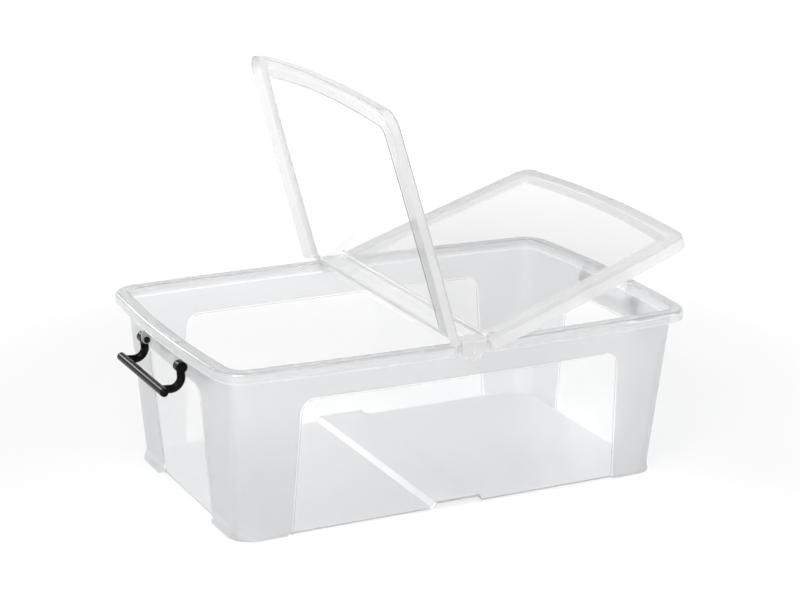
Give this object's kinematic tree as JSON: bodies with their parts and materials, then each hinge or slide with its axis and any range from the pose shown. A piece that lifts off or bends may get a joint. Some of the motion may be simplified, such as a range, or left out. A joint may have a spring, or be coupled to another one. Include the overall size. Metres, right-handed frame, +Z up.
{
  "type": "portable file box",
  "caption": "Tapered translucent storage tub with clear windows, a centre bar across its mouth, two folding lid flaps and two swing handles.",
  "frame": {"origin": "on the floor, under the middle of the box", "axes": "+X along the long side, +Y from front to back, +Z up"},
  "size_m": [0.772, 0.4732, 0.5734],
  "materials": {
    "frosted_plastic": "translucent natural polypropylene, fine matt texture, with clear polished windows",
    "clear_plastic": "clear polished polypropylene with a finely frosted border",
    "black_plastic": "black gloss, smooth and hard"
  },
  "bodies": {
    "tub_body": {"tub": "frosted_plastic"},
    "bar_body": {"centre_bar": "clear_plastic"},
    "left_flap_body": {"left_flap": "clear_plastic"},
    "right_flap_body": {"right_flap": "clear_plastic"},
    "left_handle_body": {"left_handle": "black_plastic"},
    "right_handle_body": {"right_handle": "black_plastic"}
  },
  "joints": [
    {"name": "bar_lift", "type": "slide", "parent": "tub_body", "child": "bar_body", "axis": [0, 0, 1], "range_m": [0, 0.12]},
    {"name": "left_flap_hinge", "type": "hinge", "parent": "bar_body", "child": "left_flap_body", "pos_m": [-0.022, 0, 0.251], "axis": [0, 1, 0], "range_deg": [-73.6, 16.4]},
    {"name": "right_flap_hinge", "type": "hinge", "parent": "bar_body", "child": "right_flap_body", "pos_m": [0.022, 0, 0.251], "axis": [0, -1, 0], "range_deg": [-18.9, 71.1]},
    {"name": "left_handle_swing", "type": "hinge", "parent": "tub_body", "child": "left_handle_body", "pos_m": [-0.352, 0, 0.2135], "axis": [0, 1, 0], "range_deg": [0, 112]},
    {"name": "right_handle_swing", "type": "hinge", "parent": "tub_body", "child": "right_handle_body", "pos_m": [0.352, 0, 0.2135], "axis": [0, -1, 0], "range_deg": [0, 112]}
  ]
}
